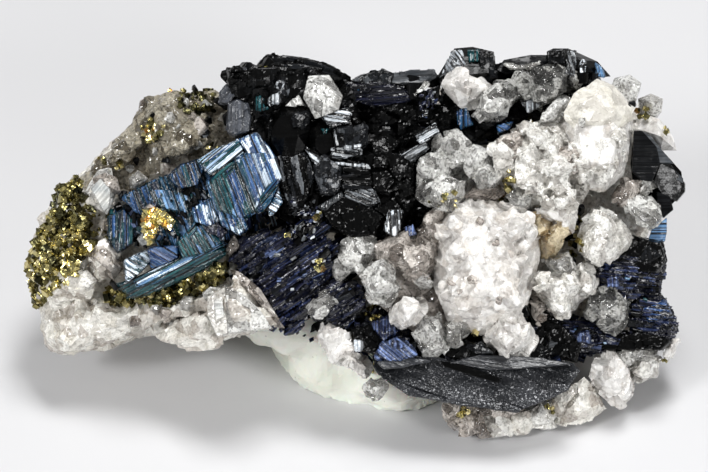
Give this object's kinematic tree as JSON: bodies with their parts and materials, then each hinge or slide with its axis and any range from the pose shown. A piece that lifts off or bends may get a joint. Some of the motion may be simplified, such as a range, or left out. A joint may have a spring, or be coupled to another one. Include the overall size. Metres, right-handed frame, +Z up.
{
  "type": "vivianite specimen",
  "caption": "Dark blue and black vivianite crystals with milky and clear quartz and brassy pyrite on quartz rock, standing on a foot of white putty.",
  "frame": {"origin": "on the flat underside of the putty foot, below the middle of the display face as it is seen from the front", "axes": "+X to the right along the longest extent, +Y away from the viewer of the display face, +Z up; the face leans back from the viewer by 35 degrees"},
  "size_m": [0.0402, 0.021, 0.0192],
  "materials": {
    "quartz_rock": "fractured massive quartz, whitish to grey-brown",
    "clear_quartz": "clear to greyish quartz crystals, glassy faces",
    "milky_quartz": "milky translucent quartz, glassy faces",
    "blue_vivianite": "deep blue, striated, pearly reflections in blue, teal and white",
    "dark_vivianite": "near black to indigo, glossy and striated",
    "pyrite": "brassy metallic grains, some tarnished orange",
    "putty": "matte off-white putty with drag marks"
  },
  "bodies": {
    "root": {"hexagonal_quartz_crystal": "milky_quartz", "milky_quartz_cluster": "milky_quartz", "upper_milky_quartz": "milky_quartz", "grey_quartz_group": "clear_quartz", "right_pale_quartz": "milky_quartz", "right_clear_quartz": "clear_quartz", "star_quartz": "milky_quartz", "grey_hexagonal_quartz": "clear_quartz", "pale_quartz_lump": "milky_quartz", "upper_edge_quartz": "clear_quartz", "left_vivianite_blade": "dark_vivianite", "right_vivianite_blade": "dark_vivianite", "blue_vivianite_crystal": "blue_vivianite", "blue_vivianite_blade": "blue_vivianite", "right_vivianite_crystal": "dark_vivianite", "central_vivianite_cluster": "dark_vivianite", "upper_right_vivianite": "dark_vivianite", "indigo_vivianite_mound": "dark_vivianite", "lower_right_vivianite": "dark_vivianite", "lower_vivianite_cluster": "dark_vivianite", "brown_quartz_crystal": "clear_quartz", "corner_quartz": "clear_quartz", "lower_corner_quartz": "milky_quartz", "bottom_quartz": "clear_quartz", "pyrite_knob": "pyrite", "pyrite_crust": "pyrite", "pyrite_seam": "pyrite", "mounting_putty": "putty", "quartz_matrix": "quartz_rock"}
  },
  "joints": []
}
